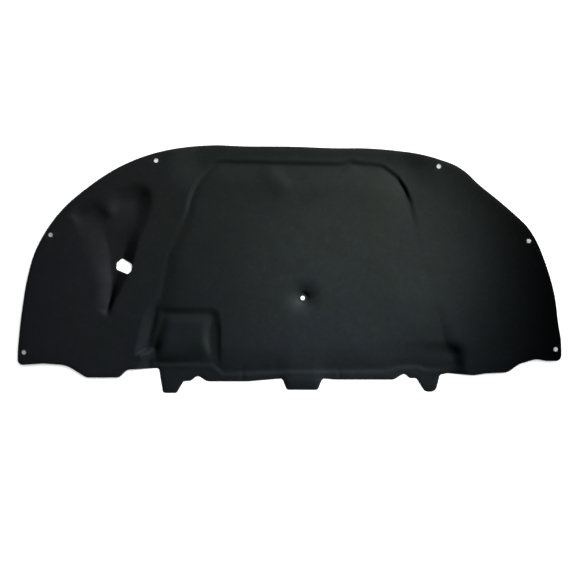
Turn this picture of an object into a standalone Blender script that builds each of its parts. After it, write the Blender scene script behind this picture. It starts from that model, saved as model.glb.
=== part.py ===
"""Hood insulation pad: one sheet of moulded black felt, lying engine side up.

X runs across the car from its centre line, Y towards the front of the car from the
pad's rear edge, and Z up. Lengths are in metres. The finished pad is moved so that
the middle of its box stands on the origin.
"""

from math import cos, pi, radians, sin, tan

import bmesh
import bpy
import numpy as np
from mathutils import Vector
from mathutils.geometry import delaunay_2d_cdt, interpolate_bezier

# Reach of the pad from the car's centre line and from its own rear edge
LEFT_REACH = 0.623
RIGHT_REACH = 0.569
FRONT_REACH = 0.5205
FRONT_EDGE_LEFT = 0.199
FRONT_EDGE_RIGHT = 0.203
FRONT_EDGE_FALL = 0.0115

# Felt
FELT_THICKNESS = 0.006
CUT_EDGE_THICKNESS = 0.004
CUT_EDGE_RUN = 0.009

# Rear corners and the wings' rear edges, as heights above the main rear edge
LEFT_WING_LEVEL = 0.0365
LEFT_STEP_LEVEL = 0.0090
LEFT_NECK_LEVEL = 0.0295
RIGHT_WING_LEVEL = 0.0455
RIGHT_STEP_LEVEL = 0.0145
WING_CREST = 0.0035
CORNER_RADIUS = 0.018
EDGE_CURVE_RADIUS = 0.060

# Rear edge between the tabs
LEFT_TAB_X = -0.288
LEFT_TAB_ROOT = 0.054
LEFT_TAB_TIP = 0.030
LEFT_TAB_DEPTH = 0.0255
MIDDLE_TAB_X = 0.001
MIDDLE_TAB_ROOT = 0.0885
MIDDLE_TAB_TIP = 0.068
MIDDLE_TAB_DEPTH = 0.0185
MIDDLE_TAB_LEVEL = 0.0065
RIGHT_TAB_X = 0.278
RIGHT_TAB_ROOT = 0.052
RIGHT_TAB_TIP = 0.024
RIGHT_TAB_DEPTH = 0.0225
RIGHT_TAB_LEAN = 0.005
RIGHT_EDGE_LEVEL = 0.004
LEFT_PEAK_HEIGHT = 0.0135
RIGHT_PEAK_HEIGHT = 0.018
PEAK_HALF_WIDTH = 0.023
PEAK_RADIUS = 0.010
TAB_RADIUS = 0.006
ROUND_TAB_RADIUS = 0.014

# Holes
CLIP_HOLE_DIAMETER = 0.010
CLIP_SEAT_DIAMETER = 0.020
CENTRE_CLIP_X = 0.002
CENTRE_CLIP_Y = 0.184
ACCESS_HOLE_X = -0.391
ACCESS_HOLE_Y = 0.253
ACCESS_HOLE_RADIUS = 0.0188
ACCESS_HOLE_FILLET = 0.005

# Relief pressed into the felt: heights of the engine side above the lowest floor
WING_HEIGHT = 0.012
REAR_FLANGE_HEIGHT = 0.003
FRONT_FLANGE_HEIGHT = 0.0025
FRONT_FLANGE_HALF_WIDTH = 0.300
FRONT_FLANGE_FADE = 0.080
WING_CROWN = 0.012
CROWN_START = 0.300
FLANGE_FADE = 0.035

# Main panel
PANEL_HALF_WIDTH = 0.365
FRONT_FLANGE = 0.0345
REAR_FLANGE = 0.0165
PANEL_WALL = 0.009
CREASED_WALL = 1.6
PANEL_PILLOW = 0.007
PANEL_BANK = 0.055
PANEL_CORNER_RADIUS = 0.060

# Square pocket in the panel's rear left corner
SQUARE_LEFT = -0.338
SQUARE_RIGHT = -0.192
SQUARE_LENGTH = 0.109
SQUARE_REAR = 0.040
SQUARE_SLANT = 0.027
SQUARE_SIDE_WALL = 0.020
SQUARE_FRONT_WALL = 0.014
SQUARE_SIDE_DEPTH = 0.65
SQUARE_FRONT_DEPTH = 0.35
SQUARE_PILLOW = 0.004
SQUARE_BANK = 0.028
SQUARE_CORNER_RADIUS = 0.010

# Dimple that the centre clip pulls in
DIMPLE_RADIUS = 0.050
DIMPLE_SEAT_RADIUS = 0.010
DIMPLE_CURVE = 2.2

# Pocket round the access hole
POCKET_WIDTH = 0.180
POCKET_LENGTH = 0.288
POCKET_WALL = 0.009
POCKET_CORNER_RADIUS = 0.032

# Fineness of the mesh
EDGE_STEP = 0.012
RIM_STEP = 0.0085
FILL_STEP = 0.0190
ARC_STEP = radians(30)
MATERIAL_COLOUR = (0.014, 0.016, 0.017, 1.0)

# Shape of each flank in shares of its own box, from the rear corner to the front edge
LEFT_FLANK = (
    (0.000, 0.000), (0.009, 0.098), (0.026, 0.229), (0.050, 0.360), (0.085, 0.476),
    (0.132, 0.566), (0.226, 0.686), (0.368, 0.801), (0.509, 0.887), (0.651, 0.945),
    (0.792, 0.979), (1.000, 1.000),
)
RIGHT_FLANK = (
    (0.000, 0.000), (0.004, 0.056), (0.014, 0.105), (0.044, 0.286), (0.098, 0.440),
    (0.153, 0.550), (0.208, 0.620), (0.262, 0.664), (0.372, 0.745), (0.505, 0.837),
    (0.563, 0.884), (0.612, 0.914), (0.727, 0.953), (0.863, 0.984), (1.000, 1.000),
)
# Front edge: share of its width from the left, share of its fall
FRONT_EDGE = ((0.18, 0.20), (0.43, 0.26), (0.68, 0.56), (0.86, 0.61))

# Clip holes along the flanks and the front: share of the way, distance in from the edge
EDGE_CLIPS = (
    (0.0019, 0.0133), (0.159, 0.0131), (0.332, 0.0166),
    (0.698, 0.0149), (0.854, 0.0142), (0.9998, 0.0125),
)

# Access hole: the angles of its six corners
ACCESS_HOLE_CORNERS = (-161, -64, -31, 15, 104, 153)

# Rims of the pressed regions. Each row has the share across, the share along, the corner
# radius in rim radii and the run of the wall in wall runs. A panel row ends in the shares
# of the full depth, of the pillow and of its bank. A pocket row ends in the share of the
# full depth and the wall's curve.
PANEL_SIDES = (
    (-0.074, 0.999, 0, 0.9, 1.0, 1.0, 1.0), (0.233, 0.995, 0, 0.9, 1.0, 1.0, 1.0),
    (0.290, 1.010, 0, 1.2, 0.8, 1.0, 1.0), (0.351, 0.997, 0, 0.8, 0.8, 1.0, 1.0),
    (0.489, 0.986, 0.4, 0.7, 0.4, 1.0, 0.9), (0.585, 0.930, 0.4, 0.6, 0.3, 1.0, 0.9),
    (0.633, 0.872, 0.2, 0.6, 0.25, 0.9, 1.0), (0.671, 0.800, 0, 0.7, 0.1, 0.7, 1.1),
    (0.720, 0.670, 0, 1.2, 0.05, 0.5, 1.2), (0.858, 0.343, 0, 1.5, 0.05, 0.4, 1.2),
    (0.935, 0.170, 0, 3.0, 0.2, 0.5, 1.1), (0.992, 0.015, 0.2, 2.4, 0.6, 0.7, 1.0),
    (0.833, 0.009, 0, 0.8, 1.0, 1.0, 1.0), (0.742, 0.011, 0, 0.8, 1.0, 1.0, 1.0),
    (0.707, 0.023, 0, 0.8, 1.0, 1.0, 1.0), (0.592, 0.023, 0, 0.8, 1.0, 1.0, 1.0),
    (0.515, 0.004, 0, 0.8, 1.0, 1.0, 1.0), (-0.071, 0.002, 0, 0.8, 1.0, 1.0, 1.0),
    (-0.482, -0.009, 0.15, 0.8, 1.0, 0.9, 1.0), (-0.545, 0.036, 0, 0.8, 1.0, 0.9, 1.0),
    (-0.899, 0.038, 0, 0.8, 1.0, 0.8, 0.9), (-0.907, 0.102, 0, 1.0, 1.0, 0.8, 0.7),
    (-1.006, 0.080, 0, 1.1, 1.0, 0.8, 0.6), (-1.000, 0.105, 0, 2.9, 1.0, 0.8, 0.6),
    (-0.970, 0.216, 0, 3.4, 0.8, 0.8, 0.6), (-0.940, 0.277, 0, 3.0, 0.6, 0.7, 0.7),
    (-0.910, 0.340, 0, 2.0, 0.3, 0.6, 0.8), (-0.879, 0.370, 0, 1.2, 0.1, 0.5, 0.8),
    (-0.843, 0.487, 0, 1.0, 0.05, 0.5, 0.5), (-0.819, 0.581, 0, 1.0, 0.05, 0.5, 0.5),
    (-0.759, 0.675, 0, 1.0, 0.05, 0.5, 0.5), (-0.708, 0.759, 0, 0.8, 0.1, 0.5, 0.4),
    (-0.690, 0.815, 0, 0.6, 0.2, 0.5, 0.3), (-0.669, 0.862, 0, 0.6, 0.3, 0.5, 0.3),
    (-0.635, 0.909, 0.2, 0.6, 0.35, 0.6, 0.4), (-0.596, 0.947, 0.2, 0.6, 0.4, 0.7, 0.5),
    (-0.530, 0.998, 0.3, 0.8, 0.6, 0.8, 0.7), (-0.470, 1.006, 0, 0.8, 0.9, 0.9, 1.0),
)
POCKET_SIDES = (
    (0.340, 0.569, 0.4, 5.0, 1.0, 0.5), (0.267, 0.653, 0.4, 5.5, 1.0, 0.8),
    (0.120, 0.646, 0.4, 6.0, 0.9, 1.0), (-0.002, 0.569, 0, 3.0, 0.6, 1.0),
    (-0.100, 0.516, 0.2, 2.0, 0.6, 0.9), (-0.186, 0.416, 0.2, 2.2, 0.6, 0.9),
    (-0.283, 0.485, 0.3, 2.9, 0.35, 1.0), (-0.418, 0.516, 0.4, 2.6, 0.4, 1.0),
    (-0.552, 0.477, 0.4, 3.0, 0.7, 0.8), (-0.613, 0.401, 0.3, 3.6, 0.7, 0.7),
    (-0.595, 0.309, 0, 6.0, 0.6, 0.9), (-0.552, 0.202, 0, 7.5, 0.8, 1.2),
    (-0.497, 0.034, 0, 6.7, 1.0, 2.0), (-0.467, -0.149, 0, 6.7, 1.0, 2.3),
    (-0.442, -0.264, 0, 5.3, 0.9, 2.3), (-0.369, -0.348, 0.2, 3.3, 0.6, 2.0),
    (-0.192, -0.401, 0, 0.8, 0.15, 1.5), (-0.155, -0.340, 0, 1.0, 0.35, 1.0),
    (-0.088, -0.264, 0, 1.8, 0.75, 1.0), (-0.039, -0.225, 0, 2.1, 0.9, 1.0),
    (0.022, -0.149, 0, 2.9, 1.0, 1.0), (0.059, -0.096, 0, 3.0, 1.0, 1.0),
    (0.120, -0.012, 0, 2.9, 1.0, 1.0), (0.138, 0.088, 0, 2.8, 1.0, 1.0),
    (0.175, 0.180, 0, 3.8, 1.0, 0.9), (0.212, 0.256, 0, 5.5, 1.0, 0.8),
    (0.279, 0.325, 0, 6.0, 1.0, 0.5), (0.309, 0.401, 0, 5.5, 1.0, 0.5),
    (0.340, 0.485, 0, 5.2, 1.0, 0.5),
)


def along(points, closed):
    """Distance from the first point to each point, and to the end of a closed line."""
    loop = np.vstack([points, points[:1]]) if closed else points
    steps = np.linalg.norm(np.diff(loop[:, :2], axis=0), axis=1)
    return np.concatenate([[0.0], np.cumsum(steps)])


def resampled(points, step):
    """Splits each side of a closed line that is longer than the step into even parts."""
    ends = np.roll(points, -1, axis=0)
    parts = []
    for start, end in zip(points, ends):
        pieces = max(1, int(np.ceil(np.linalg.norm(end[:2] - start[:2]) / step)))
        parts.append(start + (end - start) * np.arange(pieces)[:, None] / pieces)
    return np.vstack(parts)


def evenly_spaced(points, step):
    """Points at an even distance along a closed line, about one step apart."""
    way = along(points, closed=True)
    loop = np.vstack([points, points[:1]])
    stations = np.linspace(0.0, way[-1], max(6, round(way[-1] / step)), endpoint=False)
    return np.stack([np.interp(stations, way, column) for column in loop.T], axis=1)


def rounded(corners):
    """Closed line through corners of (x, y, radius, values), each turned by an arc.

    The arc touches both sides of its corner. Its radius is held to what the shorter
    side has room for. The result's rows are x, y and the corner's values.
    """
    corners = np.array(corners, float)
    points = []
    for i, (x, y, radius, *values) in enumerate(corners):
        here = Vector((x, y))
        back = Vector(corners[i - 1][:2]) - here
        ahead = Vector(corners[(i + 1) % len(corners)][:2]) - here
        half = back.angle(ahead) / 2
        reach = min(radius / tan(half), 0.48 * back.length, 0.48 * ahead.length)
        turn = pi - 2 * half
        if reach < EDGE_STEP / 10 or turn < ARC_STEP / 10:
            points.append((x, y, *values))
            continue
        start = here + back.normalized() * reach
        end = here + ahead.normalized() * reach
        handle = reach * 4 / 3 * tan(turn / 4) / tan(turn / 2)
        arc = interpolate_bezier(
            start,
            start + (here - start).normalized() * handle,
            end + (here - end).normalized() * handle,
            end,
            max(3, round(turn / ARC_STEP) + 1),
        )
        points += [(p.x, p.y, *values) for p in arc]
    return np.array(points)


def smooth_line(knots, step):
    """Open curve through the knots, with the tangent at each one set by its neighbours."""
    knots = [Vector(knot) for knot in knots]
    tangents = []
    for i, knot in enumerate(knots):
        back = knot - knots[max(i - 1, 0)]
        ahead = knots[min(i + 1, len(knots) - 1)] - knot
        if not back.length or not ahead.length:
            tangents.append((back + ahead).normalized())
            continue
        slope = back / back.length * ahead.length + ahead / ahead.length * back.length
        tangents.append(slope.normalized())
    points = [knots[0]]
    for i in range(len(knots) - 1):
        span = (knots[i + 1] - knots[i]).length
        count = max(2, int(np.ceil(span / step)) + 1)
        points += interpolate_bezier(
            knots[i],
            knots[i] + tangents[i] * span / 3,
            knots[i + 1] - tangents[i + 1] * span / 3,
            knots[i + 1],
            count,
        )[1:]
    return np.array([(p.x, p.y) for p in points])


def crown_line():
    """The pad's edge from the left rear corner over the front to the right one."""
    front_left = Vector((-FRONT_EDGE_LEFT, FRONT_REACH))
    front_right = Vector((FRONT_EDGE_RIGHT, FRONT_REACH - FRONT_EDGE_FALL))
    rear_left = Vector((-LEFT_REACH, LEFT_WING_LEVEL + 1.45 * CORNER_RADIUS))
    rear_right = Vector((RIGHT_REACH, RIGHT_WING_LEVEL + 1.45 * CORNER_RADIUS))
    left = front_left - rear_left
    right = front_right - rear_right
    knots = [rear_left + Vector((left.x * u, left.y * v)) for u, v in LEFT_FLANK]
    width = front_right.x - front_left.x
    knots += [front_left + Vector((width * u, -FRONT_EDGE_FALL * v)) for u, v in FRONT_EDGE]
    knots += [
        rear_right + Vector((right.x * u, right.y * v)) for u, v in reversed(RIGHT_FLANK)
    ]
    return smooth_line(knots, EDGE_STEP)


def tab(centre, root, tip, lean, left_level, right_level, depth, radius):
    """Four corners of a tab that hangs from the rear edge, from left to right."""
    return [
        (centre - root / 2, left_level, TAB_RADIUS),
        (centre + lean - tip / 2, -depth, radius),
        (centre + lean + tip / 2, -depth, radius),
        (centre + root / 2, right_level, TAB_RADIUS),
    ]


def rear_corners():
    """The rear edge from the left corner to the right one, as rounded corners."""
    left_root = LEFT_TAB_X - LEFT_TAB_ROOT / 2
    right_root = RIGHT_TAB_X + RIGHT_TAB_ROOT / 2

    def left(share):
        return left_root - (LEFT_REACH + left_root) * share

    def right(share):
        return right_root + (RIGHT_REACH - right_root) * share

    soft = EDGE_CURVE_RADIUS
    corners = [
        (-LEFT_REACH, LEFT_WING_LEVEL, CORNER_RADIUS),
        (left(0.82), LEFT_WING_LEVEL + WING_CREST, soft),
        (left(0.655), LEFT_WING_LEVEL, soft),
        (left(0.515), LEFT_STEP_LEVEL, soft / 3),
        (left(0.28), LEFT_STEP_LEVEL, soft / 5),
        (left(0.225), LEFT_NECK_LEVEL - WING_CREST, soft / 5),
    ]
    corners += tab(
        LEFT_TAB_X, LEFT_TAB_ROOT, LEFT_TAB_TIP, -LEFT_TAB_ROOT / 18,
        LEFT_NECK_LEVEL, 0, LEFT_TAB_DEPTH, TAB_RADIUS,
    )
    left_peak = LEFT_TAB_X + LEFT_TAB_ROOT / 2 + 1.35 * PEAK_HALF_WIDTH
    corners += [(left_peak - 0.6 * PEAK_HALF_WIDTH, WING_CREST / 2, PEAK_RADIUS)]
    corners += [(left_peak, LEFT_PEAK_HEIGHT, PEAK_RADIUS)]
    corners += [(left_peak + 0.9 * PEAK_HALF_WIDTH, 0, 2 * PEAK_RADIUS)]
    corners += [(MIDDLE_TAB_X - 1.35 * MIDDLE_TAB_ROOT, 0, soft)]
    corners += tab(
        MIDDLE_TAB_X, MIDDLE_TAB_ROOT, MIDDLE_TAB_TIP, 0,
        MIDDLE_TAB_LEVEL, MIDDLE_TAB_LEVEL, MIDDLE_TAB_DEPTH, TAB_RADIUS,
    )
    right_peak = RIGHT_TAB_X - RIGHT_TAB_ROOT / 2 - 1.15 * PEAK_HALF_WIDTH
    corners += [(MIDDLE_TAB_X + 0.8 * MIDDLE_TAB_ROOT, RIGHT_EDGE_LEVEL, PEAK_RADIUS)]
    corners += [(right_peak - PEAK_HALF_WIDTH, RIGHT_EDGE_LEVEL, PEAK_RADIUS)]
    corners += [(right_peak, RIGHT_PEAK_HEIGHT, 0.8 * PEAK_RADIUS)]
    corners += [(right_peak + 0.5 * PEAK_HALF_WIDTH, 0.4 * RIGHT_PEAK_HEIGHT, PEAK_RADIUS)]
    corners += tab(
        RIGHT_TAB_X, RIGHT_TAB_ROOT, RIGHT_TAB_TIP, RIGHT_TAB_LEAN,
        0.4 * RIGHT_PEAK_HEIGHT, RIGHT_STEP_LEVEL, RIGHT_TAB_DEPTH, ROUND_TAB_RADIUS,
    )
    corners += [
        (right(0.06), RIGHT_STEP_LEVEL + WING_CREST, soft / 4),
        (right(0.28), RIGHT_STEP_LEVEL - WING_CREST / 4, soft),
        (right(0.38), RIGHT_STEP_LEVEL + WING_CREST, soft / 2),
        (right(0.555), RIGHT_STEP_LEVEL + 1.5 * WING_CREST, soft / 2),
        (right(0.65), RIGHT_WING_LEVEL - 2 * WING_CREST, soft / 2),
        (right(0.79), RIGHT_WING_LEVEL + 1.2 * WING_CREST, soft / 2),
        (right(0.88), RIGHT_WING_LEVEL, soft / 2),
        (RIGHT_REACH, RIGHT_WING_LEVEL, CORNER_RADIUS * 0.75),
    ]
    return corners


def outline():
    """The pad's whole edge, clockwise from the left rear corner."""
    crown = [(x, y, 0) for x, y in crown_line()]
    edge = rounded(crown + rear_corners()[::-1])
    return resampled(edge, EDGE_STEP)


def clip_centres():
    """Middle of each clip hole: those along the edge, and the one in the dimple."""
    line = crown_line()
    way = along(line, closed=False)
    centres = []
    for share, margin in EDGE_CLIPS:
        at = Vector([np.interp(share * way[-1], way, column) for column in line.T])
        lead = Vector([np.interp(share * way[-1] + EDGE_STEP, way, c) for c in line.T])
        trail = Vector([np.interp(share * way[-1] - EDGE_STEP, way, c) for c in line.T])
        inward = (lead - trail).normalized().orthogonal() * -1
        centres.append(at + inward * margin)
    return centres + [Vector((CENTRE_CLIP_X, CENTRE_CLIP_Y))]


def circle(centre, radius, count):
    """Points evenly round a circle."""
    angles = np.arange(count) * 2 * pi / count
    return np.stack([centre[0] + radius * np.cos(angles), centre[1] + radius * np.sin(angles)], 1)


def access_hole():
    """Six-sided hole with rounded corners that all lie on one circle."""
    corners = [
        (
            ACCESS_HOLE_X + ACCESS_HOLE_RADIUS * cos(radians(angle)),
            ACCESS_HOLE_Y + ACCESS_HOLE_RADIUS * sin(radians(angle)),
            ACCESS_HOLE_FILLET,
        )
        for angle in ACCESS_HOLE_CORNERS
    ]
    return resampled(rounded(corners), EDGE_STEP)


def panel_rim():
    """Rim of the main panel, from shares of its half width and of its length."""
    u, v, radius, run, depth, pillow, bank = np.array(PANEL_SIDES).T
    length = FRONT_REACH - FRONT_FLANGE - REAR_FLANGE
    return rounded(np.stack([
        u * PANEL_HALF_WIDTH, REAR_FLANGE + v * length, radius * PANEL_CORNER_RADIUS,
        run * PANEL_WALL, depth, np.full(len(u), CREASED_WALL), pillow * PANEL_PILLOW,
        bank * PANEL_BANK,
    ], axis=1))


def square_rim():
    """Rim of the square pocket. Its left and rear sides lie in the panel's own crease."""
    right = SQUARE_RIGHT + SQUARE_SIDE_WALL
    front = SQUARE_REAR + SQUARE_LENGTH + SQUARE_FRONT_WALL
    crease = PANEL_WALL / 3
    radius = SQUARE_CORNER_RADIUS + SQUARE_SIDE_WALL
    front_side = (SQUARE_FRONT_WALL, SQUARE_FRONT_DEPTH, 1.0, SQUARE_PILLOW / 2, SQUARE_BANK)
    right_side = (SQUARE_SIDE_WALL, SQUARE_SIDE_DEPTH, 1.0, SQUARE_PILLOW, SQUARE_BANK)
    in_crease = (crease, 0.0, 1.0, 0.0, SQUARE_BANK)
    return rounded([
        (SQUARE_LEFT + SQUARE_SLANT, front, 0, *front_side),
        (right, front, radius, *front_side),
        (right, front - 2 * radius, 0, *right_side),
        (right, SQUARE_REAR, 0, *right_side),
        (SQUARE_RIGHT, SQUARE_REAR - crease, 0, *in_crease),
        (SQUARE_LEFT - crease, SQUARE_REAR - crease, 0, *in_crease),
    ])


def dimple_rim():
    """Rim of the dimple round the centre clip."""
    ring = circle((CENTRE_CLIP_X, CENTRE_CLIP_Y), DIMPLE_RADIUS, 32)
    wall = (DIMPLE_RADIUS - DIMPLE_SEAT_RADIUS, 1.0, DIMPLE_CURVE, 0.0, PANEL_BANK)
    return np.column_stack([ring, np.tile(wall, (len(ring), 1))])


def pocket_rim():
    """Rim of the two-lobed pocket that runs down to a point below the access hole."""
    u, v, radius, run, depth, curve = np.array(POCKET_SIDES).T
    return rounded(np.stack([
        ACCESS_HOLE_X + u * POCKET_WIDTH, ACCESS_HOLE_Y + v * POCKET_LENGTH,
        radius * POCKET_CORNER_RADIUS, run * POCKET_WALL, depth, curve,
        np.zeros(len(u)), np.full(len(u), PANEL_BANK),
    ], axis=1))


def eased(share):
    """Share from 0 to 1 that starts and ends level."""
    share = np.clip(share, 0.0, 1.0)
    return share * share * (3 - 2 * share)


def inside(points, loop):
    """Whether each point lies inside a closed line, by counting the sides it crosses."""
    x, y = points[:, :1], points[:, 1:2]
    x0, y0 = loop[:, 0], loop[:, 1]
    x1, y1 = np.roll(x0, -1), np.roll(y0, -1)
    rise = np.where(y1 == y0, 1.0, y1 - y0)
    crosses = ((y0 > y) != (y1 > y)) & (x < x0 + (y - y0) / rise * (x1 - x0))
    return crosses.sum(axis=1) % 2 == 1


def distances(points, loop):
    """Distance from each point to each side of a closed line, and the place on the side."""
    start = loop[:, :2]
    side = np.roll(start, -1, axis=0) - start
    offset = points[:, None, :2] - start[None]
    share = np.clip((offset * side).sum(2) / (side * side).sum(1), 0.0, 1.0)
    gap = offset - share[..., None] * side
    return np.sqrt((gap * gap).sum(2)), share


def across_wall(points, rim):
    """How far each point is down the rim's wall and from the rim, and what rules there.

    The first result is 0 at the rim and 1 at the foot. The run of the wall changes
    along the rim, and the nearest side in wall runs rules and gives the wall's curve.
    The distance from the rim is a smooth one: the sixth powers of 1 / distance, summed
    along the rim, give back the plain distance at a straight rim and round it off
    between two rims. The rim's other values are weighed by the cube of 1 / distance.
    """
    rim = resampled(rim, RIM_STEP)
    distance, share = distances(points, rim)
    ends = np.roll(rim, -1, axis=0)
    run = rim[:, 2] + share * (ends[:, 2] - rim[:, 2])
    length = np.linalg.norm(ends[:, :2] - rim[:, :2], axis=1)
    ratio = distance / run
    nearest = ratio.argmin(axis=1)
    down = ratio[np.arange(len(points)), nearest]
    distance = np.maximum(distance, RIM_STEP / 10)
    weight = length / distance**3
    middle = (rim[:, 2:] + ends[:, 2:]) / 2
    values = weight @ middle / weight.sum(axis=1)[:, None]
    values[:, 2] = middle[nearest, 2]
    smooth = (length / distance**6).sum(axis=1) / (3 * pi / 8)
    return down, smooth ** (-1 / 5), values.T


def pressed(points, height, rim):
    """Presses a region into the felt: down the wall to its foot, then up to a pillow.

    The fall is the share of the wall to the power of its curve: over 1 it ends in a
    crease, and under 1 it starts with an edge. The pillow rises as a quarter of a sine
    wave, steepest at the foot.
    """
    down, reach, (run, depth, curve, pillow, bank) = across_wall(points, rim)
    fall = np.clip(down, 0.0, 1.0) ** curve
    rise = np.sin(np.clip((reach - run) / bank, 0.0, 1.0) * pi / 2)
    return np.where(inside(points, rim), height * (1 - depth * fall) + pillow * rise, height)


def relief(points):
    """Height of the engine side above the lowest floor, at each point."""
    x, y = points[:, 0], points[:, 1]
    height = np.full(len(points), WING_HEIGHT)
    reach = (LEFT_REACH + RIGHT_REACH) / 2 - CROWN_START
    height += WING_CROWN * (np.maximum(np.abs(x) - CROWN_START, 0.0) / reach) ** 2
    rear = eased((REAR_FLANGE + SQUARE_REAR + FLANGE_FADE - y) / FLANGE_FADE)
    middle = eased((PANEL_HALF_WIDTH - np.abs(x)) / FLANGE_FADE)
    height -= (WING_HEIGHT - REAR_FLANGE_HEIGHT) * rear * middle
    front = eased((y - FRONT_REACH + FRONT_FLANGE) / FRONT_FLANGE_FADE + 1)
    middle = eased((FRONT_FLANGE_HALF_WIDTH - np.abs(x)) / FRONT_FLANGE_FADE)
    height -= (WING_HEIGHT - FRONT_FLANGE_HEIGHT) * front * middle
    for rim in (panel_rim(), square_rim(), dimple_rim(), pocket_rim()):
        height = pressed(points, height, rim)
    return height


def surface_height(points):
    """The relief, level round every clip hole where the clip's head is seated."""
    height = relief(points)
    centres = np.array([c[:] for c in clip_centres()])
    levels = relief(centres)
    seat = CLIP_SEAT_DIAMETER / 2
    for centre, level in zip(centres, levels):
        distance = np.linalg.norm(points - centre, axis=1)
        blend = eased((distance - seat) / (seat / 2))
        height = level + (height - level) * blend
    return height


def clear_of(points, kept, gap):
    """Those of the points that lie at least the gap away from every kept point."""
    if not len(points):
        return points
    apart = np.linalg.norm(points[:, None] - kept[None], axis=2).min(axis=1)
    return points[apart >= gap]


def rim_rows(rim):
    """Rows of points along a rim, at the top, the middle and the foot of its wall."""
    row = evenly_spaced(rim, RIM_STEP)
    ahead = np.roll(row[:, :2], -1, axis=0) - np.roll(row[:, :2], 1, axis=0)
    inward = np.stack([ahead[:, 1], -ahead[:, 0]], 1)
    inward /= np.linalg.norm(inward, axis=1)[:, None]
    probe = row[:, :2] + inward * RIM_STEP / 10
    inward *= np.where(inside(probe, rim), 1.0, -1.0)[:, None]
    rows = [row[:, :2]]
    for share, shortest in ((1.0, 0.0), (0.5, 1.5 * RIM_STEP)):
        shifted = row[:, :2] + inward * row[:, 2:3] * share
        down = across_wall(shifted, rim)[0]
        run = row[:, 2]
        true = (np.abs(down - share) < 0.08) & (run < 7 * PANEL_WALL) & (run > shortest)
        true &= inside(shifted, rim)
        rows.append(shifted[true])
    return rows


def sheet_points(edge, holes):
    """Points that the felt's mesh passes through, the edge and the holes first."""
    kept = np.vstack([edge] + holes)
    fixed = len(kept)
    rows = [circle(c, CLIP_SEAT_DIAMETER / 2, 12) for c in clip_centres()]
    rows.append(circle(clip_centres()[-1], DIMPLE_SEAT_RADIUS, 16))
    for rim in (square_rim(), panel_rim(), pocket_rim(), dimple_rim()):
        rows += rim_rows(rim)
    for row in rows:
        kept = np.vstack([kept, clear_of(row, kept, RIM_STEP * 0.55)])
    low, high = edge.min(axis=0), edge.max(axis=0)
    row_step = FILL_STEP * sin(radians(60))
    across = np.arange(low[0], high[0], FILL_STEP)
    lines = np.arange(low[1], high[1], row_step)
    fill = np.array([
        (x + (i % 2) * FILL_STEP / 2, y) for i, y in enumerate(lines) for x in across
    ])
    kept = np.vstack([kept, clear_of(fill, kept, FILL_STEP * 0.62)])
    free = inside(kept, edge)
    for hole in holes:
        free &= ~inside(kept, hole)
    free[:fixed] = True
    return kept[free]


def felt_sheet(edge, holes):
    """Flat triangulated sheet with the pad's outline and its holes."""
    points = sheet_points(edge, holes)
    sides = []
    first = 0
    for loop in [edge] + holes:
        count = len(loop)
        sides += [(first + i, first + (i + 1) % count) for i in range(count)]
        first += count
    vectors = [Vector(point) for point in points]
    verts, _, faces, _, _, _ = delaunay_2d_cdt(vectors, sides, [], 0, 1e-7)
    flat = np.array([vert[:] for vert in verts])
    middles = flat[np.array(faces)].mean(axis=1)
    solid = inside(middles, edge)
    for hole in holes:
        solid &= ~inside(middles, hole)
    sheet = bmesh.new()
    corners = [sheet.verts.new((x, y, 0.0)) for x, y in flat]
    for face, keep in zip(faces, solid):
        if keep:
            sheet.faces.new([corners[i] for i in face])
    loose = [vert for vert in sheet.verts if not vert.link_faces]
    bmesh.ops.delete(sheet, geom=loose, context="VERTS")
    bmesh.ops.recalc_face_normals(sheet, faces=sheet.faces)
    return sheet


def moulded_pad(collection):
    """The pad: a sheet lifted to its relief, with the felt's thickness under it.

    The thickness is measured square to the surface and is pressed thinner along the
    outer edge. The underside is flat where the pad lies on its lowest floor.
    """
    edge = outline()
    clips = [circle(c, CLIP_HOLE_DIAMETER / 2, 16) for c in clip_centres()]
    holes = clips + [access_hole()]
    pad = felt_sheet(edge, holes)
    flat = np.array([vert.co[:2] for vert in pad.verts])
    press = 1 - eased(distances(flat, edge)[0].min(axis=1) / CUT_EDGE_RUN)
    pinch = press * (FELT_THICKNESS - CUT_EDGE_THICKNESS) / 2
    top = surface_height(flat) + FELT_THICKNESS - pinch
    for vert, z in zip(pad.verts, top):
        vert.co.z = z
    pad.normal_update()
    thickness = [FELT_THICKNESS / abs(vert.normal.z) for vert in pad.verts]
    below = np.maximum(top + pinch - thickness, 0.0) + pinch
    upper = list(pad.verts)
    rims = [side for side in pad.edges if side.is_boundary]
    copy = bmesh.ops.duplicate(pad, geom=upper + list(pad.edges) + list(pad.faces))
    lower = [copy["vert_map"][vert] for vert in upper]
    for vert, z in zip(lower, below):
        vert.co.z = z
    partner = dict(zip(upper, lower))
    for side in rims:
        start, end = side.verts
        pad.faces.new((start, end, partner[end], partner[start]))
    bmesh.ops.recalc_face_normals(pad, faces=pad.faces)
    bmesh.ops.triangulate(pad, faces=pad.faces)
    mesh = bpy.data.meshes.new("insulation_pad")
    pad.to_mesh(mesh)
    pad.free()
    mesh.shade_smooth()
    mesh.set_sharp_from_angle(angle=radians(30))
    piece = bpy.data.objects.new("insulation_pad", mesh)
    collection.objects.link(piece)
    return piece


def felt():
    """Matt black needled felt."""
    material = bpy.data.materials.new("black_felt")
    material.use_nodes = True
    shader = material.node_tree.nodes["Principled BSDF"]
    shader.inputs["Base Color"].default_value = MATERIAL_COLOUR
    shader.inputs["Roughness"].default_value = 0.95
    shader.inputs["Metallic"].default_value = 0.0
    return material


def stand_on_origin(piece):
    """Moves the mesh so that the middle of its box stands on the origin."""
    corners = np.array([corner[:] for corner in piece.bound_box])
    low, high = corners.min(axis=0), corners.max(axis=0)
    shift = Vector((-(low[0] + high[0]) / 2, -(low[1] + high[1]) / 2, -low[2]))
    for vert in piece.data.vertices:
        vert.co += shift
    piece.data.update()


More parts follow.
